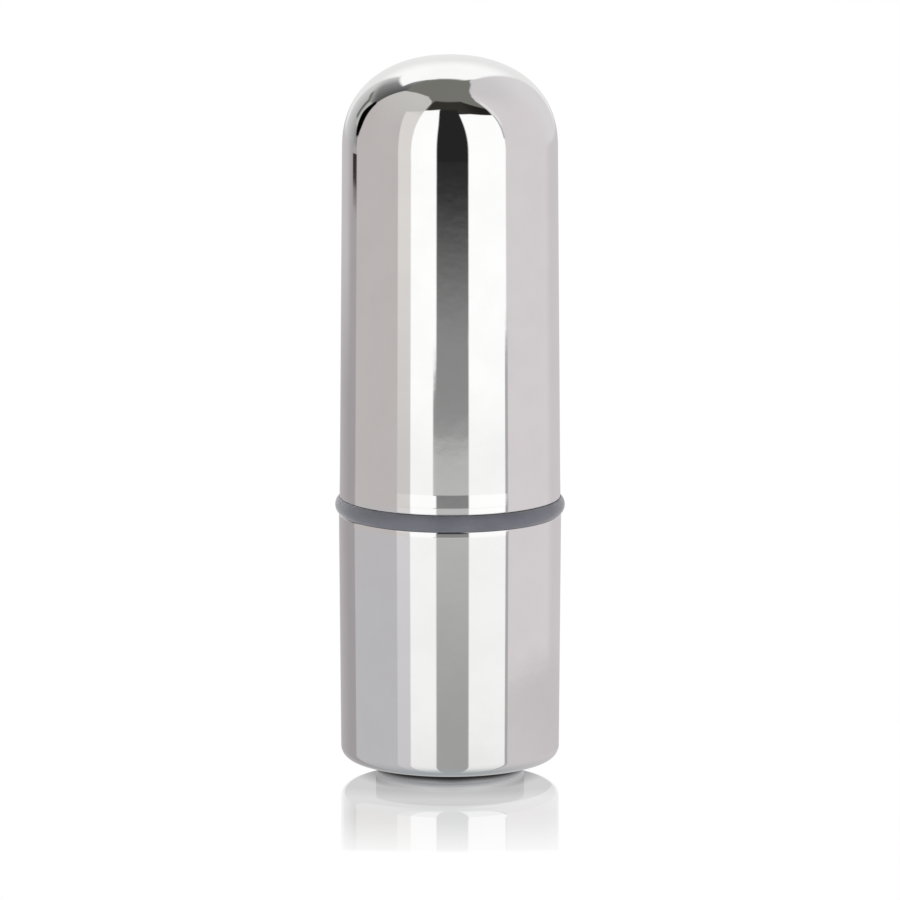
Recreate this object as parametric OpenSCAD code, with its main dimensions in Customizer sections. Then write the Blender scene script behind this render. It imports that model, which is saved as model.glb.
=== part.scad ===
// Twist-up lipstick case: a domed cap and a base with a soft seal ring between
// them, standing on a small disc foot. Inside is a screw mechanism: the collar
// turns on the base and a pegged cup climbs, carrying the colour stick.
// Millimetres. +Z is up, along the case. The origin is the centre of the
// underside of the foot.

/* [Case] */
// Overall height, closed
case_h = 71.8; // [71.5:0.1:73]
// Diameter of the base just below its rim
base_rim_d = 22.04; // [22:0.02:22.6]
// Height of the base's rim above the table
base_rim_z = 26.25; // [26:0.05:27]
// Clear height between the base's rim and the cap's rim
ring_gap = 1.62; // [1.4:0.02:1.8]

/* [Cap] */
// Diameter of the cap at its rim
cap_rim_d = 21.9; // [21.8:0.02:22.4]
// Diameter of the cap where the dome starts
cap_top_d = 21.27; // [21.21:0.02:21.61]
// Height of the dome
dome_h = 8.95; // [8.2:0.05:9.5]
// Fullness of the dome's shoulder: 2 is an ellipse, more is squarer
dome_power = 2.24; // [2:0.02:2.4]
// Diameter of the bore of the cap's shell
cap_bore_d = 19.9; // [19.7:0.1:20]

/* [Base] */
// Diameter of the base where its bottom edge starts to round
base_bottom_d = 21.72; // [21.6:0.02:22]
// Radius of the rounded bottom edge
base_edge_r = 1.2; // [1:0.05:1.4]
// Diameter of the bore of the base's shell
base_bore_d = 20.2; // [19.9:0.1:20.4]
// Diameter of the foot
foot_d = 14.8; // [14:0.1:16]
// Height of the foot
foot_h = 1.48; // [1.3:0.02:1.6]

/* [Seal ring] */
// Diameter of the seal ring at the crown of its bulge
ring_crown_d = 22.78; // [22.6:0.02:23.2]
// How far the bulge stands out from the ring's edges
ring_bulge = 0.36; // [0.3:0.02:0.4]

/* [Mechanism] */
// Bore of the cup that holds the colour stick
cup_bore_d = 12.1; // [12:0.05:12.2]
// How far the cup climbs
cup_travel = 23; // [20:0.5:23]
// Climb for each full turn of the collar
lead = 18.4; // [18.4:0.1:20]
// Outside diameter of the collar sleeve
collar_d = 18; // [18:0.1:18.1]
// Height of the collar's top edge above the table
collar_top_z = 46.9; // [46.8:0.1:47.2]

/* [Hidden] */
$fn = 96;

// clearances
run_gap = 0.08;       // radial, between pieces that turn or slide on each other
seat_gap = 0.02;      // between pieces that are fixed together
rest_gap = 0.04;      // between the cap's rim and the seal ring
past = 1;             // how far a cutter runs past the face it opens

// case
base_rim_r = base_rim_d / 2;
base_bottom_r = base_bottom_d / 2;
base_bore_r = base_bore_d / 2;
foot_r = foot_d / 2;
foot_round = 0.4;
floor_t = 0.8;
floor_z = foot_h + floor_t;             // top of the base shell's floor
rim_round = 0.12;                       // rounding of the base's and the cap's rims
base_lip_h = 0.55;                      // below its rim the base leans in this far down
base_lip_lean = 0.009;                  // and by this much
cap_rim_z = base_rim_z + ring_gap;
cap_rim_r = cap_rim_d / 2;
cap_top_r = cap_top_d / 2;
cap_lip_h = 0.6;                        // straight lip at the cap's rim
rim_band_h = 1.3;                       // shallow flared band above the lip
rim_band_drop = 0.026;                  // how much narrower the band is at its top
rim_band_z = cap_rim_z + rim_round + cap_lip_h;
cap_bore_r = cap_bore_d / 2;
dome_z = case_h - dome_h;               // where the dome starts
dome_t = 0.95;                          // thickness of the crown
cap_draft = (cap_rim_r - rim_band_drop - cap_top_r) / (dome_z - rim_band_z - rim_band_h);
dome_steps = 28;

// weight and foot
weight_t = 2.5;
weight_top_z = floor_z + weight_t;
stem_r = 2.45;
stem_hole_r = stem_r + seat_gap;
label_t = 0.15;
label_r = 6.5;
label_recess = 0.3;

// mechanism radii, from the bore of the cup outwards
cup_bore_r = cup_bore_d / 2;
cup_wall = 0.65;
cup_r = cup_bore_r + cup_wall;
tube_bore_r = cup_r + run_gap;
tube_wall = 0.62;
tube_r = tube_bore_r + tube_wall;
cam_bore_r = tube_r + run_gap;
collar_r = collar_d / 2;
collar_wall = 0.4;
collar_bore_r = collar_r - collar_wall;
cam_r = collar_bore_r - seat_gap;
groove_r = cam_bore_r + 0.75;           // depth of the helical grooves
peg_reach_r = groove_r - run_gap;
peg_r = 1;
slot_w = 2 * peg_r + 2 * run_gap;
groove_w = 2.2;
insert_bore_r = collar_r + run_gap;
insert_r = base_bore_r - seat_gap;
neck_r = 9.6;                           // neck that carries the seal ring
neck_top_z = cap_rim_z - 0.2;

// mechanism heights
insert_z = weight_top_z + seat_gap;
insert_floor_t = 1.2;
socket_z = insert_z + insert_floor_t;   // floor of the socket for the inner tube
socket_r = 8.2;
flange_z = 9.3;                         // underside of the inner tube's flange
flange_t = 0.8;
flange_r = 8.3;
brake_t = 0.9;
cam_z = flange_z + flange_t + brake_t + 0.1;
cam_top_z = 46.2;
collar_z = 10.4;
lip_t = 0.4;                            // the collar's edge turned inwards over the cam
bead_z = cam_top_z + 0.1;               // bead that keeps the cam on the inner tube
bead_t = 0.7;
bead_r = tube_r + 0.35;
lip_bore_r = bead_r + run_gap;
tube_top_z = 47.2;
cup_z = 10.5;
cup_h = 13.5;
cup_floor_t = 1;
peg_z = cup_z + 2;
slot_low_z = peg_z - peg_r - 0.1;
slot_high_z = peg_z + cup_travel + peg_r + 0.1;

// colour stick
stick_r = cup_bore_r - 0.04;
stick_tip_z = collar_top_z - 1;
stick_nose_h = 7;                       // length of the rounded nose
stick_power = 2.3;
face_tilt = 47;                         // slope of the slanted face
face_crest_x = 3;                       // how far off centre the slanted face starts

// cap's liner
liner_r = cap_bore_r - seat_gap;
liner_bore_r = 9.3;
liner_z = cap_rim_z + 0.5;
liner_top_z = 61;
rib_bore_r = collar_r + 0.06;
rib_w = 0.7;
rib_count = 12;

// points of a dome from its edge to its crown: radius r and height h over height z,
// its side leaning in by the draft as it leaves the edge
function dome(r, h, z, power, steps, draft = 0) =
    [for (i = [0:steps]) let (a = 90 * i / steps, up = h * pow(sin(a), 2 / power))
        [(r - draft * up) * pow(cos(a), 2 / power), z + up]];

// points of a quarter-round or part-round edge about a centre
function arc(cx, cy, r, from, to, steps) =
    [for (i = [0:steps]) let (a = from + (to - from) * i / steps) [cx + r * cos(a), cy + r * sin(a)]];

// tube between two radii and two heights
module tube(outer, inner, low, high) {
    translate([0, 0, low])
    difference() {
        cylinder(r = outer, h = high - low);
        translate([0, 0, -past]) cylinder(r = inner, h = high - low + 2 * past);
    }
}

// domed cap with a straight lip and a shallow band above it, open below
module cap_shell() {
    rim = arc(cap_rim_r - rim_round, cap_rim_z + rim_round, rim_round, -90, 0, 6);
    band = [[cap_rim_r, rim_band_z], [cap_rim_r - rim_band_drop, rim_band_z + rim_band_h]];
    outside = dome(cap_top_r, dome_h, dome_z, dome_power, dome_steps, cap_draft);
    inner_h = dome_h - dome_t;
    inside = dome(cap_bore_r, inner_h, dome_z, dome_power, dome_steps);
    mouth = [[cap_bore_r, cap_rim_z]];
    color("silver")
    rotate_extrude() polygon(concat(rim, band, outside, [for (i = [dome_steps:-1:0]) inside[i]], mouth));
}

// moulded tube in the cap, with ribs that grip the collar
module cap_liner() {
    color("whitesmoke") {
        tube(liner_r, liner_bore_r, liner_z, liner_top_z);
        intersection() {
            tube(liner_bore_r + seat_gap, rib_bore_r, liner_z + 1, liner_top_z - 2);
            for (i = [0:rib_count - 1])
                rotate([0, 0, i * 360 / rib_count])
                translate([0, -rib_w / 2, liner_z]) cube([liner_r, rib_w, liner_top_z - liner_z]);
        }
    }
}

// cup-shaped outer base with a rounded bottom edge and a hole for the foot's stem
module base_shell() {
    edge = arc(base_bottom_r - base_edge_r, foot_h + base_edge_r, base_edge_r, -90, 0, 16);
    lip_r = base_rim_r - base_lip_lean;
    lip = [[base_rim_r, base_rim_z - base_lip_h]];
    rim = concat(lip, arc(lip_r - rim_round, base_rim_z - rim_round, rim_round, 0, 90, 6));
    inside = [[base_bore_r, base_rim_z], [base_bore_r, floor_z + 0.5], [base_bore_r - 0.5, floor_z]];
    hole = [[stem_hole_r, floor_z], [stem_hole_r, foot_h]];
    color("silver") rotate_extrude() polygon(concat(edge, rim, inside, hole));
}

// steel disc that gives the base its heft
module base_weight() {
    color("dimgray") tube(base_bore_r - 0.6, stem_hole_r, floor_z + seat_gap, weight_top_z);
}

// moulded cup inside the base: socket for the inner tube, bearing for the collar,
// and the neck that the seal ring is stretched over
module base_insert() {
    body = [[0, insert_z], [insert_r, insert_z], [insert_r, base_rim_z], [neck_r, base_rim_z],
            [neck_r, neck_top_z], [insert_bore_r, neck_top_z], [insert_bore_r, socket_z],
            [socket_r, socket_z], [socket_r, flange_z - seat_gap], [tube_r + seat_gap, flange_z - seat_gap],
            [tube_r + seat_gap, socket_z], [0, socket_z]];
    color("gainsboro") rotate_extrude() polygon(body);
}

// soft ring with a bulging outer face
module seal_ring() {
    low = base_rim_z + seat_gap;
    high = cap_rim_z - rest_gap;
    half = (high - low) / 2;
    bulge_r = (half * half + ring_bulge * ring_bulge) / (2 * ring_bulge);
    sweep = asin(half / bulge_r);
    inner = neck_r + seat_gap;
    crown = arc(ring_crown_d / 2 - bulge_r, low + half, bulge_r, -sweep, sweep, 16);
    color("slategray") rotate_extrude() polygon(concat([[inner, low]], crown, [[inner, high]]));
}

// disc that the case stands on, with a stem pressed into the weight
module foot_disc() {
    recess = [[0, label_recess], [label_r + 0.1, label_recess], [label_r + 0.1, 0]];
    edge = arc(foot_r - foot_round, foot_round, foot_round, -90, 0, 8);
    stem = [[foot_r, foot_h - seat_gap], [stem_r, foot_h - seat_gap], [stem_r, weight_top_z], [0, weight_top_z]];
    color("silver") rotate_extrude() polygon(concat(recess, edge, stem));
}

// blank round label in the recess under the foot
module shade_label() {
    color("white") translate([0, 0, label_recess - label_t - seat_gap]) cylinder(r = label_r, h = label_t);
}

// guide tube with a flange, a retaining bead and two straight slots
module inner_tube() {
    wall = [[tube_bore_r, socket_z + seat_gap], [tube_r, socket_z + seat_gap], [tube_r, flange_z],
            [flange_r, flange_z], [flange_r, flange_z + flange_t], [tube_r, flange_z + flange_t],
            [tube_r, bead_z], [bead_r, bead_z + 0.35], [bead_r, bead_z + bead_t],
            [bead_r - 0.2, tube_top_z], [tube_bore_r, tube_top_z]];
    color("white")
    difference() {
        rotate_extrude() polygon(wall);
        translate([-tube_r - past, -slot_w / 2, slot_low_z])
            cube([2 * tube_r + 2 * past, slot_w, slot_high_z - slot_low_z]);
    }
}

// small O-ring under the cam that gives the turning its drag
module brake_ring() {
    middle_r = (tube_r + seat_gap + flange_r) / 2;
    color("black")
    translate([0, 0, flange_z + flange_t + seat_gap + brake_t / 2])
    rotate_extrude() translate([middle_r, 0]) circle(r = (flange_r - tube_r - seat_gap) / 2);
}

// bright sleeve that the cap slides over, its top edge turned inwards
module collar_sleeve() {
    edge = arc(collar_r - lip_t, collar_top_z - lip_t, lip_t, 0, 90, 8);
    sleeve = concat([[collar_bore_r, collar_z], [collar_r, collar_z]], edge,
                    [[lip_bore_r, collar_top_z], [lip_bore_r, collar_top_z - lip_t],
                     [collar_bore_r, collar_top_z - lip_t]]);
    color("silver") rotate_extrude() polygon(sleeve);
}

// ring sector that one helical groove sweeps
module groove_section() {
    middle = (cam_bore_r + groove_r) / 2;
    slope = atan(lead / (2 * PI * middle));
    half = groove_w / sin(slope) / middle * 90 / PI;
    inner = cam_bore_r - 0.3;
    polygon(concat(arc(0, 0, groove_r, -half, half, 6), arc(0, 0, inner, half, -half, 6)));
}

// cam sleeve with two right-handed helical grooves, open at the bottom end
module spiral_sleeve() {
    groove_h = slot_high_z - cam_z + 1.2;
    low_turn = 360 * (cam_z - past - peg_z) / lead;
    color("gray")
    difference() {
        tube(cam_r, cam_bore_r, cam_z, cam_top_z);
        for (side = [0, 180])
            rotate([0, 0, side + low_turn])
            translate([0, 0, cam_z - past])
            linear_extrude(height = groove_h + past, twist = -360 * (groove_h + past) / lead, slices = 54, $fn = 16)
            groove_section();
    }
}

// cup that holds the stick, with a peg each side that runs in slot and groove
module lipstick_cup() {
    color("silver")
    difference() {
        union() {
            translate([0, 0, cup_z]) cylinder(r = cup_r, h = cup_h);
            intersection() {
                translate([-peg_reach_r, 0, peg_z]) rotate([0, 90, 0]) cylinder(r = peg_r, h = 2 * peg_reach_r);
                translate([0, 0, cup_z]) cylinder(r = peg_reach_r, h = cup_h);
            }
        }
        translate([0, 0, cup_z + cup_floor_t]) cylinder(r = cup_bore_r, h = cup_h);
    }
}

// colour stick with a rounded nose and a slanted face
module lipstick_stick() {
    foot_z = cup_z + cup_floor_t + seat_gap;
    nose = dome(stick_r, stick_nose_h, stick_tip_z - stick_nose_h, stick_power, 14);
    cut = 4 * stick_r;
    color("indianred")
    difference() {
        rotate_extrude() polygon(concat([[0, foot_z], [stick_r, foot_z]], nose));
        translate([face_crest_x, 0, stick_tip_z])
            rotate([0, -face_tilt, 0])
            translate([-cut, -cut / 2, 0]) cube([cut, cut, cut]);
    }
}

cap_shell();
cap_liner();
base_shell();
base_weight();
base_insert();
seal_ring();
foot_disc();
shade_label();
inner_tube();
brake_ring();
collar_sleeve();
spiral_sleeve();
lipstick_cup();
lipstick_stick();
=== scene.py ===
import math

import bmesh
import bpy
from mathutils import Matrix, Vector


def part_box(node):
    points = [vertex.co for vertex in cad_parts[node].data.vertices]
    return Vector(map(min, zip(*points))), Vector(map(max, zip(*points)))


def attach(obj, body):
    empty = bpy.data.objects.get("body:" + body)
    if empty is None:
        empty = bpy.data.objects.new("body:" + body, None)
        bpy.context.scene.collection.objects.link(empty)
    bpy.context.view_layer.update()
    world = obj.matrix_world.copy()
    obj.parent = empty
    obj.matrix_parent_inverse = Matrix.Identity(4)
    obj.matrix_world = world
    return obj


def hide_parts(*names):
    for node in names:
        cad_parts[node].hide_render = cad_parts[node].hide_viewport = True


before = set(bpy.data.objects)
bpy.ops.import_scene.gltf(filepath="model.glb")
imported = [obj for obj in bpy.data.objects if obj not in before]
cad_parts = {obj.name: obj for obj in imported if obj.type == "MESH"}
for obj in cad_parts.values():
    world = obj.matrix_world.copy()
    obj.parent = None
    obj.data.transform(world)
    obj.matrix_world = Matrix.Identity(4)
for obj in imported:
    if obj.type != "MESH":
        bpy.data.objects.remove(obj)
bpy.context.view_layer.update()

# Looks of a twist-up lipstick case: bright-plated cap and base, soft seal ring, satin
# foot, and the mechanism inside. Profiles are in millimetres and the scene is in
# metres, in the frame of the CAD part: Z up, the foot on the floor at the origin.

MM = 0.001
TURN = 2 * math.pi

# ---------------------------------------------------------------- measures of the part


def node_mm(name):
    """Lowest height, highest height and largest radius of a CAD node, in mm."""
    low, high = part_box(name)
    return low.z / MM, high.z / MM, max(high.x, high.y) / MM


CAP_RIM_Z, CAP_TOP_Z, CAP_RIM_R = node_mm("cap_shell")
BASE_LOW_Z, BASE_RIM_Z, BASE_RIM_R = node_mm("base_shell")
RING_LOW_Z, RING_HIGH_Z, RING_CROWN_R = node_mm("seal_ring")
FOOT_LOW_Z, FOOT_STEM_Z, FOOT_R = node_mm("foot_disc")
LABEL_LOW_Z, LABEL_HIGH_Z, LABEL_R = node_mm("shade_label")
COLLAR_LOW_Z, COLLAR_TOP_Z, COLLAR_R = node_mm("collar_sleeve")
CUP_LOW_Z, CUP_TOP_Z, CUP_PEG_R = node_mm("lipstick_cup")
STICK_LOW_Z, STICK_TIP_Z, STICK_R = node_mm("lipstick_stick")

# measures of the part that its nodes' boxes don't give: lengths in mm, tilt in degrees
RIM_ROUND = 0.12
CAP_LIP_H = 0.6
RIM_BAND_H = 1.3
RIM_BAND_DROP = 0.026
CAP_TOP_R = 10.635
CAP_BORE_R = 9.95
DOME_H = 8.95
DOME_T = 0.95
DOME_POWER = 2.24
BASE_LIP_H = 0.55
BASE_LIP_LEAN = 0.009
BASE_BOTTOM_R = 10.86
BASE_EDGE_R = 1.2
BASE_BORE_R = 10.1
BASE_FLOOR_Z = 2.28
BASE_CHAMFER = 0.5
STEM_HOLE_R = 2.47
STEM_R = 2.45
RING_BULGE = 0.36
RING_BORE_R = 9.62
FOOT_TOP_Z = 1.46
FOOT_ROUND = 0.4
LABEL_RECESS = 0.3
LABEL_GAP = 0.1
COLLAR_WALL = 0.4
COLLAR_LIP_T = 0.4
COLLAR_LIP_R = 7.83
CUP_BORE_R = 6.05
CUP_R = 6.7
CUP_FLOOR_T = 1.0
PEG_Z = 12.5
PEG_R = 1.0
PEG_ROOT = 0.2
STICK_NOSE_H = 7.0
STICK_POWER = 2.3
STICK_TILT = 47.0
STICK_CREST_X = 3.0

# ---------------------------------------------------------------- profiles and meshes


def arc(centre_r, centre_z, radius, start, end, steps):
    """Points of part of a circle, angles in degrees."""
    points = []
    for i in range(steps + 1):
        a = math.radians(start + (end - start) * i / steps)
        points.append((centre_r + radius * math.cos(a), centre_z + radius * math.sin(a)))
    return points


def dome(radius, height, base_z, power, steps, draft=0.0):
    """Points of a dome from its edge to its crown, as in the part's source."""
    points = []
    for i in range(steps + 1):
        a = 0.5 * math.pi * i / steps
        up = height * math.sin(a) ** (2 / power)
        across = max(math.cos(a), 0.0) ** (2 / power)
        points.append(((radius - draft * up) * across, base_z + up))
    points[-1] = (0.0, base_z + height)
    return points


def soften(profile, radius, steps=5, sharp=25.0):
    """Rounds the sharp corners of a closed profile, except those on the axis."""
    rounded = []
    count = len(profile)
    for i, point in enumerate(profile):
        here = Vector(point)
        before = Vector(profile[i - 1]) - here
        after = Vector(profile[(i + 1) % count]) - here
        if here.x < 1e-6 or before.length < 1e-6 or after.length < 1e-6:
            rounded.append(point)
            continue
        inside = before.angle(after)
        if math.degrees(math.pi - inside) < sharp:
            rounded.append(point)
            continue
        back = min(radius / math.tan(inside / 2), 0.45 * before.length, 0.45 * after.length)
        start = here + before.normalized() * back
        end = here + after.normalized() * back
        for k in range(steps + 1):
            t = k / steps
            curved = start * (1 - t) ** 2 + here * 2 * t * (1 - t) + end * t**2
            rounded.append((curved.x, curved.y))
    return rounded


def fence(profile, reach=0.06):
    """Adds points close to both ends of every long straight run, so that the smooth
    shading of an edge doesn't spread over the run beside it."""
    fenced = []
    count = len(profile)
    for i, point in enumerate(profile):
        a, b = Vector(point), Vector(profile[(i + 1) % count])
        run = (b - a).length
        fenced.append(tuple(a))
        if run > 5 * reach:
            fenced.append(tuple(a.lerp(b, reach / run)))
            fenced.append(tuple(a.lerp(b, 1 - reach / run)))
    return fenced


def new_piece(name, mesh, material, body, slot, *replaced):
    """Puts a mesh in the scene as a piece that rides on a body and stands for its node."""
    piece = bpy.data.objects.new(name, mesh)
    bpy.context.scene.collection.objects.link(piece)
    mesh.materials.append(material)
    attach(piece, body)
    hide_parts(*replaced)


def turned(bm, profile, segments, bend=None):
    """Turns a closed profile about Z into bm; bend(angle, radius) gives a changed radius."""
    rings = []
    for r, z in profile:
        if r < 1e-6:
            rings.append([bm.verts.new((0, 0, z * MM))])
            continue
        ring = []
        for k in range(segments):
            a = TURN * k / segments
            radius = bend(a, r) if bend else r
            place = (radius * math.cos(a) * MM, radius * math.sin(a) * MM, z * MM)
            ring.append(bm.verts.new(place))
        rings.append(ring)
    for i, ring in enumerate(rings):
        other = rings[(i + 1) % len(rings)]
        if len(ring) == 1 and len(other) == 1:
            continue
        for k in range(segments):
            n = (k + 1) % segments
            if len(ring) == 1:
                bm.faces.new((ring[0], other[n], other[k]))
            elif len(other) == 1:
                bm.faces.new((ring[k], ring[n], other[0]))
            else:
                bm.faces.new((ring[k], ring[n], other[n], other[k]))


def finished_mesh(name, bm, sharp=38.0):
    """Turns bm into a smooth-shaded mesh whose hard edges stay hard."""
    bmesh.ops.recalc_face_normals(bm, faces=bm.faces)
    mesh = bpy.data.meshes.new(name)
    bm.to_mesh(mesh)
    bm.free()
    mesh.shade_smooth()
    mesh.set_sharp_from_angle(angle=math.radians(sharp))
    return mesh


def turned_piece(name, profile, edge, material, *placing):
    """New piece of a closed profile, its corners rounded by edge, turned about Z."""
    bm = bmesh.new()
    turned(bm, fence(soften(profile, edge)), segments=256)
    new_piece(name, finished_mesh(name, bm), material, *placing)


# ---------------------------------------------------------------- node graphs


class Graph:
    """Builds a node tree. Numbers, colours and sockets all serve as inputs."""

    def __init__(self, tree):
        self.tree = tree
        tree.nodes.clear()

    def feed(self, socket, value):
        if isinstance(value, bpy.types.NodeSocket):
            self.tree.links.new(value, socket)
        else:
            socket.default_value = value

    def add(self, kind, inputs=None, **settings):
        node = self.tree.nodes.new(kind)
        for name, value in settings.items():
            setattr(node, name, value)
        for key, value in (inputs or {}).items():
            self.feed(node.inputs[key], value)
        return node

    def math(self, operation, *values):
        node = self.add("ShaderNodeMath", operation=operation)
        for socket, value in zip(node.inputs, values):
            self.feed(socket, value)
        return node.outputs[0]

    def rise(self, value, low, high):
        """0 at low and 1 at high, smooth between, whichever of them is larger."""
        inputs = {"Value": value, "From Min": low, "From Max": high}
        node = self.add("ShaderNodeMapRange", inputs, interpolation_type="SMOOTHSTEP")
        return node.outputs["Result"]

    def scaled(self, value, low, high, to_low, to_high):
        """Straight-line change from one range to another, held at its ends."""
        inputs = {"Value": value, "From Min": low, "From Max": high}
        inputs |= {"To Min": to_low, "To Max": to_high}
        return self.add("ShaderNodeMapRange", inputs).outputs["Result"]

    def band(self, value, low, high, soft):
        """1 between low and high and 0 outside them, with soft ends."""
        rising = self.rise(value, low - soft, low + soft)
        falling = self.rise(value, high + soft, high - soft)
        return self.math("MULTIPLY", rising, falling)

    def area(self, u, v, corners, soft):
        """1 inside a convex outline in the plane of u and v and 0 outside it; the
        corners run anticlockwise."""
        inside = None
        for (u0, v0), (u1, v1) in zip(corners, corners[1:] + corners[:1]):
            length = math.hypot(u1 - u0, v1 - v0)
            across, up = (v0 - v1) / length, (u1 - u0) / length
            depth = self.math("MULTIPLY_ADD", u, across, -(across * u0 + up * v0))
            edge = self.rise(self.math("MULTIPLY_ADD", v, up, depth), -soft, soft)
            inside = edge if inside is None else self.math("MULTIPLY", inside, edge)
        return inside

    def ramp(self, value, stops):
        """Colour that runs through stops, each a value and a colour."""
        low, high = stops[0][0], stops[-1][0]
        node = self.add("ShaderNodeValToRGB", {"Fac": self.scaled(value, low, high, 0.0, 1.0)})
        elements = node.color_ramp.elements
        for n, (at, colour) in enumerate(stops):
            position = (at - low) / (high - low)
            stop = elements[n] if n < 2 else elements.new(position)
            stop.position = position
            stop.color = colour
        return node.outputs["Color"]

    def both(self, *masks):
        """Product of the masks."""
        product = masks[0]
        for mask in masks[1:]:
            product = self.math("MULTIPLY", product, mask)
        return product

    def mix(self, share, a, b):
        """Colour a where share is 0 and b where it is 1."""
        node = self.add("ShaderNodeMix", data_type="RGBA")
        self.feed(node.inputs[0], share)
        self.feed(node.inputs[6], a)
        self.feed(node.inputs[7], b)
        return node.outputs[2]

    def split(self, vector):
        return self.add("ShaderNodeSeparateXYZ", {"Vector": vector}).outputs

    def join(self, x, y, z):
        return self.add("ShaderNodeCombineXYZ", {"X": x, "Y": y, "Z": z}).outputs[0]

    def noise(self, vector, scale, detail=3.0, roughness=0.55):
        inputs = {"Vector": vector, "Scale": scale, "Detail": detail, "Roughness": roughness}
        return self.add("ShaderNodeTexNoise", inputs).outputs["Fac"]

    def bump(self, height, distance, strength=1.0, normal=None):
        inputs = {"Height": height, "Distance": distance, "Strength": strength}
        if normal:
            inputs["Normal"] = normal
        return self.add("ShaderNodeBump", inputs).outputs["Normal"]


def light(value):
    """Linear value of a display level from 0 to 255."""
    v = value / 255
    return v / 12.92 if v <= 0.04045 else ((v + 0.055) / 1.055) ** 2.4


def grey(value):
    """Grey of a linear value."""
    return (value, value, value, 1.0)


def tone(red, green=None, blue=None, gain=1.0):
    """Linear colour of display levels from 0 to 255; one level alone is a grey."""
    green = red if green is None else green
    blue = red if blue is None else blue
    return (light(red) * gain, light(green) * gain, light(blue) * gain, 1.0)


# ---------------------------------------------------------------- camera

SENSOR_W = 36.0  # mm
LENS = 317.76  # mm
CAMERA_BACK = 0.7748  # metres in front of the case's axis
CAMERA_UP = 0.17306  # metres above the floor
CAMERA_TILT = 10.285  # degrees below level


def make_camera():
    """Long lens, a little above the case, looking slightly down."""
    data = bpy.data.cameras.new("camera")
    data.sensor_width = SENSOR_W
    data.lens = LENS
    data.clip_start = 0.05
    data.clip_end = 20.0
    camera = bpy.data.objects.new("camera", data)
    bpy.context.scene.collection.objects.link(camera)
    camera.location = (0.0, -CAMERA_BACK, CAMERA_UP)
    camera.rotation_euler = (math.radians(90 - CAMERA_TILT), 0.0, 0.0)
    bpy.context.scene.camera = camera


# ---------------------------------------------------------------- studio

PLATING = 0.94  # share of light that the bright plating returns
GLOSS = 0.88  # share of light that the floor's polish returns where it is full
FAR_BELOW = -100  # lower than any elevation, for surfaces without a lower edge

# corners of the studio's surfaces, anticlockwise: azimuth and elevation in degrees
RIGHT_WALL = [(60.5, FAR_BELOW), (170, FAR_BELOW), (170, 45), (153, 66), (132, 73), (112, 76),
              (92, 76), (70, 72.5), (60.5, 66)]
RIGHT_WALL_END = [(61.5, 28), (65, 28), (69, 66), (61.5, 60)]
LEFT_WALL = [(-117, FAR_BELOW), (-42, FAR_BELOW), (-42, 66), (-48, 70), (-72, 73), (-92, 70),
             (-105, 66), (-119, 57)]
FAR_GAP = [(-125, 10), (-122, 1), (-117, 2), (-114.8, 10), (-116, 22), (-117.5, 32), (-122.5, 32),
            (-126.5, 18)]
CANOPY = [(-37.5, 50), (60, 40), (60.3, 54), (45, 63), (38, 67.5), (28, 72), (0, 73), (-40, 71.5),
          (-41.5, 68)]
PALE_STRIP = [(-57, FAR_BELOW), (-28, FAR_BELOW), (-28, 54), (-57, 46)]
LEFT_CARD = [(-42, FAR_BELOW), (-12, FAR_BELOW), (-12, 50), (-17.2, 59.3), (-42, 54.5)]
RIGHT_CARD = [(12, FAR_BELOW), (61.7, FAR_BELOW), (61.7, 42.5), (45, 47), (33, 50.5), (12, 52)]
RIGHT_CARD_EDGE = [(60.9, 12), (62.5, 12), (62.5, 42), (60.9, 42)]

# the same for the surfaces behind the case, with azimuth from straight behind
BACK_WALL = [(-63, FAR_BELOW), (32, FAR_BELOW), (32, 58), (-20, 62), (-63, 58)]
PALE_PANEL = [(-57, 7), (-50.5, 7), (-50.5, 26), (-57, 28)]
DARK_GAP = [(-49.5, 10), (-45, 10), (-44, 26), (-49, 26)]
DARK_LEDGE = [(-46, 23), (-37, 24), (-37, 27), (-46, 27)]
WHITE_WALL = [(-25, -3), (20, -3), (26, 60), (20, 66), (-5, 66), (-25, 62)]
WHITE_CORNER = [(-25, 39), (-15, 50), (-15, 64), (-25, 62), (-47, 52.5)]

# the stand's sides and top, each from where it starts to where it is full
STAND_LEFT, STAND_RIGHT, STAND_TOP = (-15.2, -13.2), (20.5, 18.5), (61, 57)
# towards the top its sides bend to the left, by these times the square of the degrees
# above their start, and low down its left side steps out
STAND_LEFT_BEND, STAND_LEFT_BEND_FROM = 0.005, 30.0
STAND_RIGHT_BEND = 0.0021
STAND_STEP, STAND_STEP_EL = 3.4, (-9.75, -8.75)

# ranges of azimuth and elevation: the slit under the far gap, the sill under the slit,
# the grey line low on the right card's edge, and the lamp
SLIT_AZ, SLIT_EL = (-127.0, -118.6), (-7.93, -7.5)
SILL_AZ, SILL_EL = (-126.0, -118.6), (-8.05, -7.91)
LOW_EDGE_AZ, LOW_EDGE_EL = (59.9, 63.2), (-8.5, -8.7)
LAMP_AZ, LAMP_EL = (-165, -115), (-20, 40)
LAMP = (3.5, 3.5, 3.45, 1.0)

WALL_FOOT = (-13.0, -13.25)  # elevations between which the right wall turns to its foot
WALL_FOOT_SLANT = 0.0075  # degrees up for each degree to the right
STRIP_BEND = 0.0047  # degrees aside for each squared degree up


def studio_level(red, green=None, blue=None):
    """Colour that a surface of the studio needs to show at that level in the plating."""
    return tone(red, green, blue, 1 / PLATING)


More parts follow.
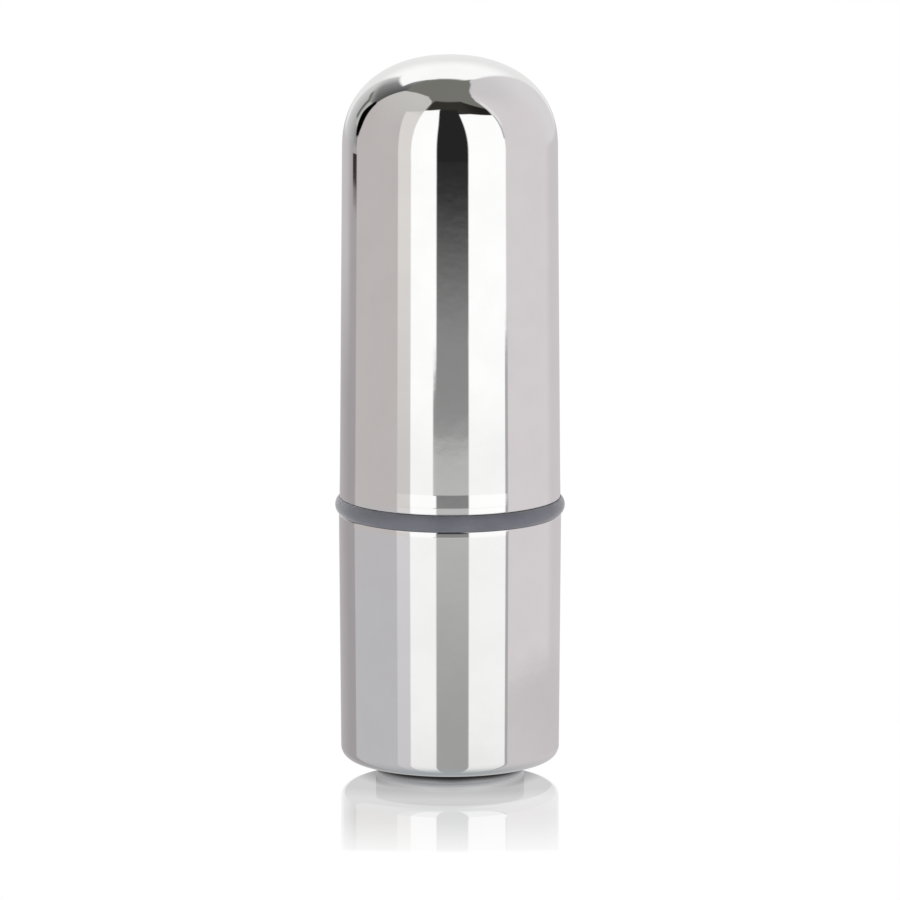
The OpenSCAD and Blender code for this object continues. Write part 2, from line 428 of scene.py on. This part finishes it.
class Studio:
    """The studio round the case, painted on the world one surface over another. Azimuth
    is 0 on the camera's side and rises to the right, and rear is the same measured from
    straight behind the case. Elevation is 0 at level."""

    def __init__(self, tree):
        self.g = g = Graph(tree)
        x, y, z = g.split(g.add("ShaderNodeTexCoord").outputs["Generated"])[:3]
        self.az = g.math("DEGREES", g.math("ARCTAN2", x, g.math("MULTIPLY", y, -1.0)))
        self.rear = g.math("DEGREES", g.math("ARCTAN2", x, y))
        self.el = g.math("DEGREES", g.math("ARCSINE", z))
        raised = g.math("MAXIMUM", self.el, 0.0)
        self.raised_squared = g.math("MULTIPLY", raised, raised)
        self.rays = g.add("ShaderNodeLightPath").outputs
        # 1 after two glossy bounces, as in what the floor mirrors: it gets a plainer studio
        self.mirrored = g.math("GREATER_THAN", self.rays["Glossy Depth"], 1.5)
        # the dim ceiling comes first, and everything else is painted over it
        self.paint = studio_level(115, 115, 110)

    def card(self, under, colour, corners, soft=1.2, across=None):
        """Puts a card over the colour under it."""
        across = self.az if across is None else across
        return self.g.mix(self.g.area(across, self.el, corners, soft), under, colour)

    def lay(self, colour, corners, soft=1.2, across=None):
        """Puts a card over everything painted so far."""
        self.paint = self.card(self.paint, colour, corners, soft, across)

    def levels(self, value, *stops):
        """Colour that changes with value. A stop is a value and the levels there."""
        return self.g.ramp(value, [(at, studio_level(*level)) for at, *level in stops])

    def paint_back_wall(self):
        """Greyer stretch behind and to the left, with a paler panel and two dark gaps."""
        g, el, rear = self.g, self.el, self.rear
        lower = self.levels(rear, (-62, 128), (-50, 165), (-40, 184), (-26, 206))
        upper = self.levels(rear, (-62, 76), (-50, 104), (-37, 135), (-24, 205))
        stretch = g.mix(g.rise(el, 22, 34), lower, upper)
        stretch = self.card(stretch, studio_level(178, 180, 176), PALE_PANEL, 1.0, rear)
        stretch = self.card(stretch, studio_level(104, 106, 102), DARK_GAP, 1.2, rear)
        stretch = self.card(stretch, studio_level(112, 113, 108), DARK_LEDGE, 1.2, rear)
        stretch = g.mix(self.mirrored, stretch, lower)
        low = self.levels(rear, (-51, 164, 159, 161), (-38, 188, 183, 185), (9, 198, 194, 196))
        lowest = self.levels(rear, (-48, 159, 154, 156), (-20, 177, 172, 174), (0, 196, 192, 194))
        low = g.mix(g.rise(el, -8.4, -9.7), low, lowest)
        low = g.mix(self.mirrored, low, studio_level(150, 148, 149))
        self.lay(g.mix(g.rise(el, -2, -6), stretch, low), BACK_WALL, 2.0, rear)

    def paint_right_wall(self):
        """Right wall, a little paler at its far end and darker at its top and low down."""
        g, az, el = self.g, self.az, self.el
        wall = g.mix(g.rise(az, 110, 140), studio_level(209, 204, 206), studio_level(212, 210, 211))
        top = g.both(g.rise(el, 30, 60), g.rise(az, 70, 100))
        wall = g.mix(top, wall, studio_level(201, 198, 200))
        far_low = g.both(g.rise(el, -3, -6), g.rise(az, 118, 136))
        wall = g.mix(far_low, wall, studio_level(199, 194, 196))
        low = self.levels(el, (-13.1, 199, 195, 197), (-12.5, 193, 189, 191))
        slant = g.math("MULTIPLY_ADD", az, -WALL_FOOT_SLANT, el)
        self.lay(g.mix(g.rise(slant, *WALL_FOOT), wall, low), RIGHT_WALL)
        self.lay(studio_level(222), RIGHT_WALL_END, 1.5)

    def paint_white_wall(self):
        """White wall straight behind, a little dimmer low down."""
        dim, full = studio_level(228, 229, 228), studio_level(250)
        self.lay(self.g.mix(self.g.rise(self.el, 18, 40), dim, full), WHITE_WALL, 2.5, self.rear)
        self.lay(full, WHITE_CORNER, 1.5, self.rear)

    def paint_left_wall(self):
        """Left wall, and past its far edge a dark gap, with a slit and its sill under it."""
        g, az, el = self.g, self.az, self.el
        wall = self.levels(el, (-12, 183, 182, 185), (-10, 186, 181, 180), (25, 186, 181, 180),
                           (60, 193, 192, 188))
        self.lay(wall, LEFT_WALL, 0.9)
        plain = self.paint
        self.lay(studio_level(4), FAR_GAP, 1.1)
        slit = g.both(g.band(az, *SLIT_AZ, 1.6), g.band(el, *SLIT_EL, 0.04))
        self.paint = g.mix(slit, self.paint, studio_level(46, 40, 38))
        sill = g.both(g.band(az, *SILL_AZ, 1.6), g.band(el, *SILL_EL, 0.04))
        self.paint = g.mix(sill, self.paint, studio_level(134, 127, 126))
        self.paint = g.mix(self.mirrored, self.paint, plain)

    def paint_canopy(self):
        """Dark canopy over the cards."""
        left, right = studio_level(51, 49, 45), studio_level(34, 32, 30)
        self.lay(self.g.mix(self.g.rise(self.az, 20, 50), left, right), CANOPY, 1.5)

    def paint_strip(self):
        """Pale strip beside the left card, its far edge bending away towards the top."""
        g, el = self.g, self.el
        pale = self.levels(el, (-13.5, 198, 196, 199), (-12, 205, 203, 206), (-10.8, 214, 212, 212),
                           (-9.6, 198, 195, 194), (-8, 217, 213, 210))
        pale = g.mix(g.rise(el, 44, 54), pale, studio_level(206, 203, 199))
        bent = g.math("MULTIPLY_ADD", self.raised_squared, STRIP_BEND, self.az)
        self.lay(pale, PALE_STRIP, 0.8, bent)

    def paint_cards(self):
        """White cards, dimmer where the table shows them, and the right one's grey edge."""
        g, az, el = self.g, self.az, self.el
        white = self.levels(el, (-13.4, 232), (-13, 241), (-11.7, 243), (-11.2, 254), (-10.4, 254),
                            (-9.5, 243), (-8.8, 254))
        self.lay(white, LEFT_CARD, 0.8)
        self.lay(white, RIGHT_CARD, 0.8)
        self.lay(studio_level(172), RIGHT_CARD_EDGE, 0.6)
        low_edge = g.both(g.band(az, *LOW_EDGE_AZ, 0.5), g.rise(el, *LOW_EDGE_EL))
        self.paint = g.mix(low_edge, self.paint, studio_level(168, 164, 166))

    def paint_stand(self):
        """Dark stand of the camera between the cards, and the table in front of it. What
        the floor mirrors of the stand is grey except near its top."""
        g, az, el = self.g, self.az, self.el
        flare = g.math("MAXIMUM", g.math("SUBTRACT", el, STAND_LEFT_BEND_FROM), 0.0)
        flare = g.math("MULTIPLY", flare, flare)
        left_side = g.math("MULTIPLY_ADD", flare, STAND_LEFT_BEND, az)
        step = g.band(el, *STAND_STEP_EL, 0.12)
        left_side = g.math("MULTIPLY_ADD", step, STAND_STEP, left_side)
        right_side = g.math("MULTIPLY_ADD", self.raised_squared, STAND_RIGHT_BEND, az)
        across = g.both(g.rise(left_side, *STAND_LEFT), g.rise(right_side, *STAND_RIGHT))
        dark = self.levels(el, (-13, 158), (-11.7, 178), (-10.8, 186), (-9.3, 181), (-9.15, 138),
                           (-8.45, 135), (-7.45, 46), (-7, 36))
        low = g.both(self.mirrored, g.rise(el, 22, 14))
        dark = g.mix(low, dark, studio_level(156, 157, 158))
        self.paint = g.mix(g.both(across, g.rise(el, *STAND_TOP)), self.paint, dark)

    def paint_table(self):
        """Straight down everything dims to the even grey of the table. What the floor
        mirrors keeps the cards' brightness for longer."""
        fade_from = self.g.scaled(self.mirrored, 0.0, 1.0, -14.0, -50.0)
        fade = self.g.rise(self.el, fade_from, -88)
        self.paint = self.g.mix(fade, self.paint, studio_level(156, 163, 165))

    def paint_lamp(self):
        """Lamp behind and to the left that only dull surfaces show."""
        g = self.g
        spot = g.both(g.band(self.az, *LAMP_AZ, 10), g.band(self.el, *LAMP_EL, 10))
        glow = g.both(self.rays["Is Diffuse Ray"], spot)
        self.paint = g.mix(glow, self.paint, LAMP)

    def finish(self):
        """Shows plain white to the camera and to the floor's polish, and the paint to all
        else."""
        g, rays = self.g, self.rays
        unseen = g.math("MAXIMUM", rays["Is Camera Ray"], rays["Is Singular Ray"])
        # the polish dims what it returns, so its white is brighter
        blank = g.mix(rays["Is Singular Ray"], grey(1.0), grey(1.0 / GLOSS))
        shown = g.mix(unseen, self.paint, blank)
        background = g.add("ShaderNodeBackground", {"Color": shown, "Strength": 1.0})
        output = g.add("ShaderNodeOutputWorld")
        g.feed(output.inputs["Surface"], background.outputs[0])


def make_studio():
    """World of white cards on both sides of a dark camera stand, paler and greyer walls,
    and a dim ceiling, which the plating shows."""
    world = bpy.data.worlds.new("studio")
    bpy.context.scene.world = world
    world.use_nodes = True
    studio = Studio(world.node_tree)
    studio.paint_back_wall()
    studio.paint_right_wall()
    studio.paint_white_wall()
    studio.paint_left_wall()
    studio.paint_canopy()
    studio.paint_strip()
    studio.paint_cards()
    studio.paint_stand()
    studio.paint_table()
    studio.paint_lamp()
    studio.finish()


# ---------------------------------------------------------------- floor

FLOOR_HALF = 4.0  # metres from the middle to each side

# distances from the axis in metres, and the share of light that the floor mirrors there;
# across the view a distance counts less, so the polish reaches further to the sides
FLOOR_POLISH = ((0.0098, 0.50), (0.0136, 0.37), (0.0195, 0.42), (0.0235, 0.385), (0.0350, 0.13),
                (0.0362, 0.0))
SIDEWAYS = 0.35  # how much the square of a distance across the view counts

# what the floor mirrors on top of that close to the foot, and the distances over which
# this dies away
CONTACT_GAIN = 0.34
CONTACT_FROM, CONTACT_TO = 0.0076, 0.0098

# how much the floor under the case dims for dull surfaces, the distances over which the
# shade comes in outside the foot's label, and those over which it dies away
SHADE_DEPTH = 0.97
SHADE_START, SHADE_FULL = 0.0058, 0.0066
SHADE_FADE, SHADE_END = 0.008, 0.018


def make_floor():
    """Plain white floor whose polish shows close to the case and fades away from it."""
    material = bpy.data.materials.new("white_floor")
    material.use_nodes = True
    g = Graph(material.node_tree)
    x, y, _ = g.split(g.add("ShaderNodeTexCoord").outputs["Object"])[:3]
    wide, deep = g.math("MULTIPLY", x, x), g.math("MULTIPLY", y, y)
    away = g.math("SQRT", g.math("ADD", wide, deep))
    ahead = g.math("SQRT", g.math("MULTIPLY_ADD", wide, SIDEWAYS, deep))
    polish = g.ramp(ahead, [(distance, grey(share)) for distance, share in FLOOR_POLISH])
    contact = g.scaled(away, CONTACT_FROM, CONTACT_TO, CONTACT_GAIN, 0.0)
    polish = g.math("ADD", polish, contact)
    rays = g.add("ShaderNodeLightPath").outputs
    fading = g.scaled(away, SHADE_FADE, SHADE_END, SHADE_DEPTH, 0.0)
    shaded = g.both(g.rise(away, SHADE_START, SHADE_FULL), fading)
    strength = g.math("SUBTRACT", 1.0, g.math("MULTIPLY", rays["Is Diffuse Ray"], shaded))
    white = g.add("ShaderNodeEmission", {"Color": grey(1.0), "Strength": strength}).outputs[0]
    mirror = g.add("ShaderNodeBsdfGlossy", {"Color": grey(GLOSS), "Roughness": 0.0}).outputs[0]
    top = g.add("ShaderNodeMixShader", {0: polish, 1: white, 2: mirror}).outputs[0]
    # seen from below the floor is clear, so that the underside of the foot can be looked at
    clear = g.add("ShaderNodeBsdfTransparent").outputs[0]
    below = g.add("ShaderNodeNewGeometry").outputs["Backfacing"]
    shader = g.add("ShaderNodeMixShader", {0: below, 1: top, 2: clear}).outputs[0]
    g.feed(g.add("ShaderNodeOutputMaterial").inputs["Surface"], shader)
    bm = bmesh.new()
    bmesh.ops.create_grid(bm, x_segments=8, y_segments=8, size=FLOOR_HALF)
    mesh = bpy.data.meshes.new("floor")
    bm.to_mesh(mesh)
    bm.free()
    floor = bpy.data.objects.new("floor", mesh)
    bpy.context.scene.collection.objects.link(floor)
    mesh.materials.append(material)
    floor.visible_glossy = False
    floor.visible_shadow = False


# ---------------------------------------------------------------- materials

# Scales count repeats in a metre. Heights of bumps, pitches and depths are in metres.


def new_surface(name):
    """Material with its graph and an empty Principled shader."""
    material = bpy.data.materials.new(name)
    material.use_nodes = True
    g = Graph(material.node_tree)
    shader = g.add("ShaderNodeBsdfPrincipled")
    g.feed(g.add("ShaderNodeOutputMaterial").inputs["Surface"], shader.outputs[0])
    place = g.add("ShaderNodeTexCoord").outputs["Object"]
    return material, g, shader, place


def stretched(g, place, across, along):
    """Coordinates scaled one way across the axis and another along it."""
    inputs = {0: place, 1: (across, across, along)}
    return g.add("ShaderNodeVectorMath", inputs, operation="MULTIPLY").outputs[0]


def bright_plating(name, tint, wear):
    """Mirror plating: faint ripple of the polish, hairlines, and a breath of haze."""
    material, g, shader, place = new_surface(name)
    haze = g.noise(place, 260.0, detail=4.0)
    hairs = g.noise(stretched(g, place, across=5200.0, along=160.0), 1.0, detail=2.0)
    scratches = g.rise(hairs, 0.66, 0.74)
    pale = tuple(c * PLATING for c in tint) + (1.0,)
    dull = tuple(c * PLATING * 0.975 for c in tint) + (1.0,)
    colour = g.mix(g.rise(haze, 0.35, 0.7), pale, dull)
    rough = g.math("MULTIPLY_ADD", g.rise(haze, 0.4, 0.75), 0.012, 0.028)
    rough = g.math("MULTIPLY_ADD", scratches, wear, rough)
    ripple = g.noise(place, 900.0, detail=2.0, roughness=0.4)
    normal = g.bump(ripple, 6e-7)
    normal = g.bump(scratches, 1.2e-7, normal=normal)
    g.feed(shader.inputs["Base Color"], colour)
    g.feed(shader.inputs["Roughness"], rough)
    g.feed(shader.inputs["Normal"], normal)
    shader.inputs["Metallic"].default_value = 1.0
    return material


def moulded(name, colour, shade, roughness, grain_scale, grain, flow=0.0, **sockets):
    """Moulded plastic or rubber: fine skin texture, soft mottling and flow marks."""
    material, g, shader, place = new_surface(name)
    mottle = g.noise(place, 340.0, detail=4.0)
    skin = g.noise(place, grain_scale, roughness=0.6)
    marks = g.noise(stretched(g, place, across=900.0, along=120.0), 1.0, detail=2.0)
    base = g.mix(g.rise(mottle, 0.3, 0.75), colour, shade)
    base = g.mix(g.math("MULTIPLY", g.rise(marks, 0.55, 0.8), flow), base, shade)
    rough = g.math("MULTIPLY_ADD", g.rise(skin, 0.3, 0.7), 0.10, roughness - 0.05)
    g.feed(shader.inputs["Base Color"], base)
    g.feed(shader.inputs["Roughness"], rough)
    g.feed(shader.inputs["Normal"], g.bump(skin, grain))
    for key, value in sockets.items():
        shader.inputs[key.replace("_", " ")].default_value = value
    return material


def turned_metal(name, colour, roughness, pitch, depth, wear_marks=0, joint=None):
    """Metal from a lathe: fine rings round the axis, and rub marks along it. Between the
    two given heights it darkens upwards: painted shade, as under a part above it."""
    material, g, shader, place = new_surface(name)
    x, y, z = g.split(place)[:3]
    radius = g.math("SQRT", g.math("ADD", g.math("MULTIPLY", x, x), g.math("MULTIPLY", y, y)))
    rings = g.noise(g.join(radius, 0.0, z), 1 / pitch, detail=2.0, roughness=0.7)
    cloud = g.noise(place, 300.0)
    pale = tuple(colour) + (1.0,)
    dull = tuple(0.9 * c for c in colour) + (1.0,)
    base = g.mix(g.rise(rings, 0.25, 0.75), dull, pale)
    rough = g.math("MULTIPLY_ADD", g.rise(cloud, 0.3, 0.7), 0.05, roughness)
    if joint:
        # painted shade: darker upwards between the two heights, standing in for the shade under a part
        # above
        base = g.mix(g.rise(z, *joint), base, tuple(0.06 * c for c in colour) + (1.0,))
    if wear_marks:
        angle = g.math("MULTIPLY", g.math("ARCTAN2", y, x), wear_marks)
        rubbed = g.rise(g.math("COSINE", angle), 0.90, 0.985)
        streaks = g.noise(stretched(g, place, across=6000.0, along=60.0), 1.0, detail=2.0)
        rubbed = g.both(rubbed, g.rise(streaks, 0.35, 0.6))
        rough = g.math("MULTIPLY_ADD", rubbed, 0.12, rough)
    g.feed(shader.inputs["Base Color"], base)
    g.feed(shader.inputs["Roughness"], rough)
    g.feed(shader.inputs["Normal"], g.bump(rings, depth))
    shader.inputs["Metallic"].default_value = 1.0
    return material


def label_paper():
    """Blank coated paper with visible fibres."""
    material, g, shader, place = new_surface("label_paper")
    fibres = g.noise(place, 2600.0, detail=5.0, roughness=0.7)
    specks = g.rise(g.noise(place, 5200.0, detail=2.0), 0.68, 0.76)
    base = g.mix(g.rise(fibres, 0.3, 0.7), tone(238, 237, 233), tone(226, 225, 221))
    base = g.mix(specks, base, tone(210, 207, 200))
    g.feed(shader.inputs["Base Color"], base)
    g.feed(shader.inputs["Roughness"], g.math("MULTIPLY_ADD", fibres, 0.25, 0.45))
    g.feed(shader.inputs["Normal"], g.bump(fibres, 1e-5))
    return material


def colour_wax():
    """Lipstick wax: deep colour, soft depth, faint pour streaks and mould gloss."""
    material, g, shader, place = new_surface("colour_wax")
    pouring = stretched(g, place, across=500.0, along=90.0)
    streaks = g.noise(pouring, 1.0, detail=4.0, roughness=0.6)
    grain = g.noise(place, 5200.0)
    base = g.mix(g.rise(streaks, 0.3, 0.75), tone(158, 38, 52), tone(134, 28, 42))
    rough = g.math("MULTIPLY_ADD", g.rise(grain, 0.3, 0.7), 0.12, 0.30)
    height = g.math("MULTIPLY_ADD", streaks, 0.6, grain)
    g.feed(shader.inputs["Base Color"], base)
    g.feed(shader.inputs["Roughness"], rough)
    g.feed(shader.inputs["Normal"], g.bump(height, 6e-6))
    shader.inputs["Subsurface Weight"].default_value = 0.25
    shader.inputs["Subsurface Radius"].default_value = (1.0, 0.25, 0.2)
    shader.inputs["Subsurface Scale"].default_value = 0.0008
    shader.inputs["Specular IOR Level"].default_value = 0.45
    shader.inputs["Coat Weight"].default_value = 0.15
    shader.inputs["Coat Roughness"].default_value = 0.25
    return material


plating = bright_plating("bright_plating", (1.0, 0.996, 0.993), wear=0.02)
seal_rubber = moulded("seal_rubber", tone(119, 121, 130), tone(109, 111, 121), 0.45, 3800.0, 4e-6,
                      Sheen_Weight=0.8, Sheen_Roughness=0.35)
# the foot's edge darkens towards its top with painted shade, for the shade under the base's overhang
foot_satin = turned_metal("foot_satin", (0.72, 0.73, 0.74), 0.5, pitch=6e-5, depth=1.5e-6,
                          joint=(0.0001, 0.0008))
collar_polish = turned_metal("collar_polish", (0.90, 0.895, 0.89), 0.06, pitch=4e-5, depth=2e-7,
                             wear_marks=12)
weight_steel = turned_metal("weight_steel", (0.42, 0.42, 0.43), 0.36, pitch=9e-5, depth=3e-6)
liner_plastic = moulded("liner_plastic", tone(238, 238, 235), tone(228, 228, 224), 0.42,
                        2600.0, 3e-6, flow=0.5)
insert_plastic = moulded("insert_plastic", tone(196, 198, 202), tone(184, 186, 191), 0.45,
                         2600.0, 3e-6, flow=0.4)
tube_plastic = moulded("tube_plastic", tone(240, 240, 238), tone(231, 231, 228), 0.32,
                       2200.0, 2e-6, flow=0.4)
cam_plastic = moulded("cam_plastic", tone(202, 203, 206), tone(190, 191, 195), 0.42,
                      2400.0, 3e-6, flow=0.5)
cup_plastic = moulded("cup_plastic", tone(226, 227, 228), tone(216, 217, 219), 0.22,
                      2000.0, 1.2e-6, flow=0.3)
brake_rubber = moulded("brake_rubber", tone(48), tone(38), 0.55, 4200.0, 5e-6)

# ---------------------------------------------------------------- pieces


def cap_profile():
    """Cap: lip, shallow flared band, tapered wall, dome, and the hollow inside."""
    band_z = CAP_RIM_Z + RIM_ROUND + CAP_LIP_H
    dome_z = CAP_TOP_Z - DOME_H
    band_r = CAP_RIM_R - RIM_BAND_DROP
    draft = (band_r - CAP_TOP_R) / (dome_z - band_z - RIM_BAND_H)
    rim = arc(CAP_RIM_R - RIM_ROUND, CAP_RIM_Z + RIM_ROUND, RIM_ROUND, -90, 0, 8)
    rim += [(CAP_RIM_R, band_z)]
    outside = dome(CAP_TOP_R, DOME_H, dome_z, DOME_POWER, 96, draft)
    inside = dome(CAP_BORE_R, DOME_H - DOME_T, dome_z, DOME_POWER, 40)
    wall = [(band_r, band_z + RIM_BAND_H)] + outside
    return rim + wall + inside[::-1] + [(CAP_BORE_R, CAP_RIM_Z)]


def base_profile():
    """Base: rounded bottom edge, tapered wall, leaning lip, and the hollow inside."""
    edge = arc(BASE_BOTTOM_R - BASE_EDGE_R, BASE_LOW_Z + BASE_EDGE_R, BASE_EDGE_R, -90, 0, 32)
    lip_r = BASE_RIM_R - BASE_LIP_LEAN
    rim = [(BASE_RIM_R, BASE_RIM_Z - BASE_LIP_H)]
    rim += arc(lip_r - RIM_ROUND, BASE_RIM_Z - RIM_ROUND, RIM_ROUND, 0, 90, 8)
    inside = [(BASE_BORE_R, BASE_RIM_Z), (BASE_BORE_R, BASE_FLOOR_Z + BASE_CHAMFER),
              (BASE_BORE_R - BASE_CHAMFER, BASE_FLOOR_Z)]
    hole = [(STEM_HOLE_R, BASE_FLOOR_Z), (STEM_HOLE_R, BASE_LOW_Z)]
    return edge + rim + inside + hole


def ring_profile():
    """Seal ring: flat faces, bulging outside."""
    half = (RING_HIGH_Z - RING_LOW_Z) / 2
    bulge_r = (half**2 + RING_BULGE**2) / (2 * RING_BULGE)
    sweep = math.degrees(math.asin(half / bulge_r))
    crown = arc(RING_CROWN_R - bulge_r, RING_LOW_Z + half, bulge_r, -sweep, sweep, 28)
    return [(RING_BORE_R, RING_LOW_Z)] + crown + [(RING_BORE_R, RING_HIGH_Z)]


def foot_profile():
    """Foot: label recess, rounded edge, flat top and stem."""
    recess_r = LABEL_R + LABEL_GAP
    recess = [(0.0, LABEL_RECESS), (recess_r, LABEL_RECESS), (recess_r, FOOT_LOW_Z)]
    edge = arc(FOOT_R - FOOT_ROUND, FOOT_LOW_Z + FOOT_ROUND, FOOT_ROUND, -90, 0, 12)
    stem = [(FOOT_R, FOOT_TOP_Z), (STEM_R, FOOT_TOP_Z), (STEM_R, FOOT_STEM_Z),
            (0.0, FOOT_STEM_Z)]
    return recess + edge + stem


def label_profile():
    """Label: a thin disc."""
    return [(0.0, LABEL_LOW_Z), (LABEL_R, LABEL_LOW_Z), (LABEL_R, LABEL_HIGH_Z),
            (0.0, LABEL_HIGH_Z)]


def collar_profile():
    """Collar: straight sleeve whose top edge turns in over the cam."""
    bore_r = COLLAR_R - COLLAR_WALL
    lip_z = COLLAR_TOP_Z - COLLAR_LIP_T
    edge = arc(COLLAR_R - COLLAR_LIP_T, lip_z, COLLAR_LIP_T, 0, 90, 14)
    lip = [(COLLAR_LIP_R, COLLAR_TOP_Z), (COLLAR_LIP_R, lip_z), (bore_r, lip_z)]
    return [(bore_r, COLLAR_LOW_Z), (COLLAR_R, COLLAR_LOW_Z)] + edge + lip


def cup_mesh():
    """Cup with a peg on each side."""
    floor_z = CUP_LOW_Z + CUP_FLOOR_T
    profile = [(0.0, CUP_LOW_Z), (CUP_R, CUP_LOW_Z), (CUP_R, CUP_TOP_Z), (CUP_BORE_R, CUP_TOP_Z),
               (CUP_BORE_R, floor_z), (0.0, floor_z)]
    bm = bmesh.new()
    turned(bm, fence(soften(profile, 0.15)), segments=192)
    root_r = CUP_R - PEG_ROOT
    peg = soften([(0.0, root_r), (PEG_R, root_r), (PEG_R, CUP_PEG_R), (0.0, CUP_PEG_R)], 0.12)
    for side in (90, -90):
        before = set(bm.verts)
        turned(bm, peg, segments=48)
        made = [v for v in bm.verts if v not in before]
        turn = Matrix.Rotation(math.radians(side), 4, "Y")
        place = Matrix.Translation((0, 0, PEG_Z * MM)) @ turn
        bmesh.ops.transform(bm, matrix=place, verts=made)
    return finished_mesh("pegged_cup", bm)


# detail of the stick that the CAD part leaves out, in mm
SEAM_H = 0.035
SEAM_W = 0.14
STICK_EDGE = 0.22


def seamed(angle, radius):
    """Radius of the stick with the two faint seams that its mould leaves."""
    if radius <= 0.5:
        return radius
    aside = [abs(math.remainder(angle - side * math.pi / 2, TURN)) for side in (1, -1)]
    return radius - SEAM_H + SEAM_H * math.exp(-((min(aside) * radius / SEAM_W) ** 2))


def stick_mesh():
    """Colour stick: rounded nose cut by a slanted face with softened edges."""
    nose_z = STICK_TIP_Z - STICK_NOSE_H
    nose = dome(STICK_R, STICK_NOSE_H, nose_z, STICK_POWER, 40)
    body = [(STICK_R, STICK_LOW_Z + (nose_z - STICK_LOW_Z) * i / 20) for i in range(20)]
    bm = bmesh.new()
    turned(bm, [(0.0, STICK_LOW_Z)] + body + nose, segments=288, bend=seamed)
    crest = Vector((STICK_CREST_X, 0.0, STICK_TIP_Z)) * MM
    tilt = math.radians(STICK_TILT)
    up = Vector((-math.sin(tilt), 0.0, math.cos(tilt)))
    everything = list(bm.verts) + list(bm.edges) + list(bm.faces)
    cut = bmesh.ops.bisect_plane(bm, geom=everything, dist=1e-8, plane_co=crest, plane_no=up,
                                 clear_outer=True)
    rim = [e for e in cut["geom_cut"] if isinstance(e, bmesh.types.BMEdge)]
    # points that lie too close together on the rim would spoil the bevel
    bmesh.ops.remove_doubles(bm, verts=list({v for e in rim for v in e.verts}), dist=2e-5)
    rim = [e for e in bm.edges if len(e.link_faces) == 1]
    bmesh.ops.holes_fill(bm, edges=rim, sides=0)
    rim = [e for e in bm.edges if max(len(f.verts) for f in e.link_faces) > 8]
    bmesh.ops.bevel(bm, geom=rim, offset=STICK_EDGE * MM, segments=4, profile=0.5,
                    affect="EDGES", clamp_overlap=True)
    return finished_mesh("colour_stick", bm, 50.0)


turned_piece("bright_cap", cap_profile(), 0.12, plating, "cap", "bright_shell", "cap_shell")
turned_piece("bright_base", base_profile(), 0.12, plating, "base", "bright_shell", "base_shell")
turned_piece("soft_seal_ring", ring_profile(), 0.07, seal_rubber, "base", "seal_rubber", "seal_ring")
turned_piece("foot", foot_profile(), 0.06, foot_satin, "base", "foot_metal", "foot_disc")
turned_piece("blank_label", label_profile(), 0.03, label_paper(), "base", "label_film", "shade_label")
turned_piece("collar", collar_profile(), 0.1, collar_polish, "collar", "collar_metal", "collar_sleeve")
new_piece("pegged_cup", cup_mesh(), cup_plastic, "cup", "cup_plastic", "lipstick_cup")
new_piece("colour_stick", stick_mesh(), colour_wax(), "cup", "colour_wax", "lipstick_stick")

# the pieces inside keep their CAD shape and only get a material
kept = {
    "cap_liner": liner_plastic,
    "base_weight": weight_steel,
    "base_insert": insert_plastic,
    "inner_tube": tube_plastic,
    "brake_ring": brake_rubber,
    "spiral_sleeve": cam_plastic,
}
for name, material in kept.items():
    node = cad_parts[name]
    node.data.materials.clear()
    node.data.materials.append(material)

bpy.context.scene.view_settings.view_transform = "Standard"
bpy.context.scene.view_settings.look = "None"
make_camera()
make_studio()
make_floor()
